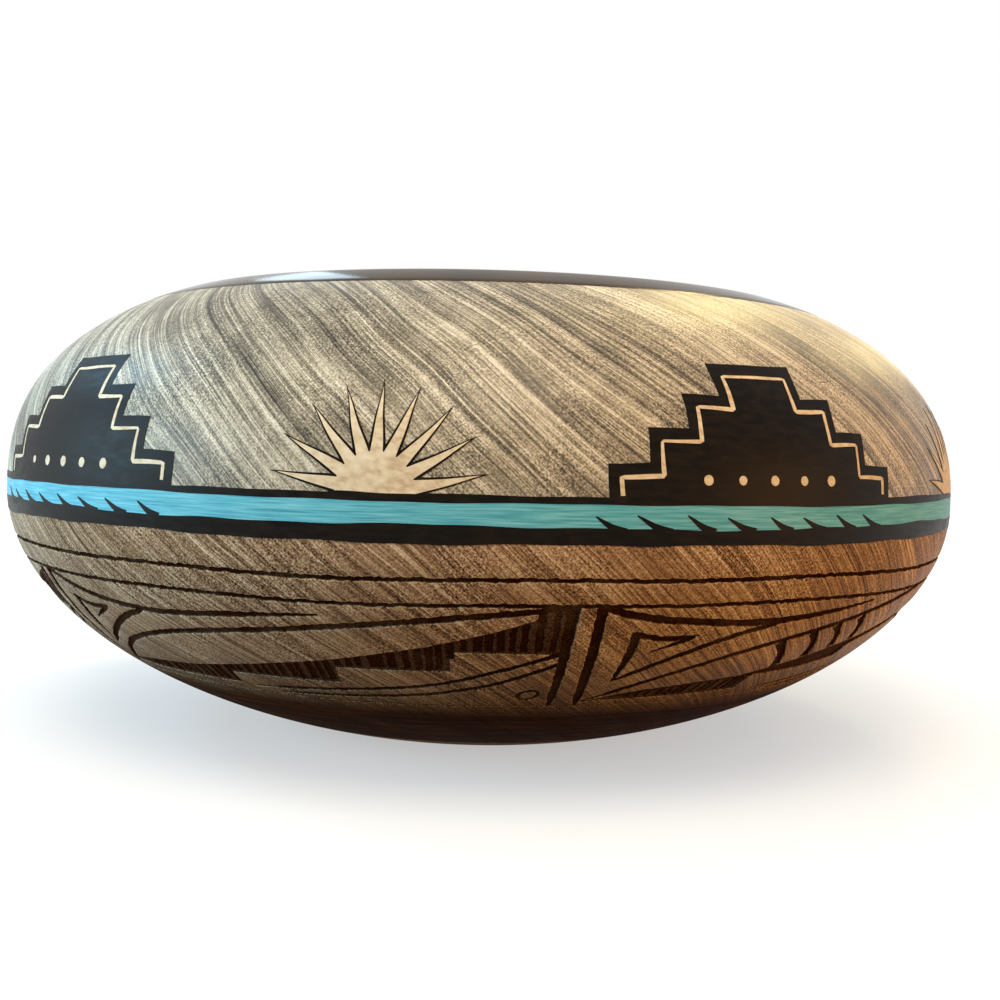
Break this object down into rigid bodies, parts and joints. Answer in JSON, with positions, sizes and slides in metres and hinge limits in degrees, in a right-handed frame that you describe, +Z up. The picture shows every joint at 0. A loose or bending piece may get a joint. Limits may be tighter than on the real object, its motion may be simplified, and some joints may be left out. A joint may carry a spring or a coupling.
{
  "type": "pottery pot",
  "caption": "Low, round earthenware pot with an in-curved shoulder, dark lip, brushed slip, painted band and carved frieze; holds dry goods or stands as an ornament.",
  "frame": {"origin": "middle of the flat foot, on the surface that the pot stands on", "axes": "+Z up along the axis of the pot, -Y towards the front that the picture shows, +X to the right of it"},
  "size_m": [0.231, 0.231, 0.1025],
  "materials": {
    "bare_clay": "matt fired clay",
    "brushed_slip": "brushed, burnished satin",
    "rim_brown": "gloss",
    "black_paint": "satin",
    "turquoise_paint": "satin",
    "pale_paint": "matt"
  },
  "bodies": {
    "root": {"clay_body": "bare_clay", "slip_coat": "brushed_slip", "rim_coat": "rim_brown", "black_skyline": "black_paint", "turquoise_stripe": "turquoise_paint", "black_ground_band": "black_paint", "sun_1": "pale_paint", "sun_2": "pale_paint", "sun_3": "pale_paint", "sun_4": "pale_paint", "sun_5": "pale_paint"}
  },
  "joints": []
}
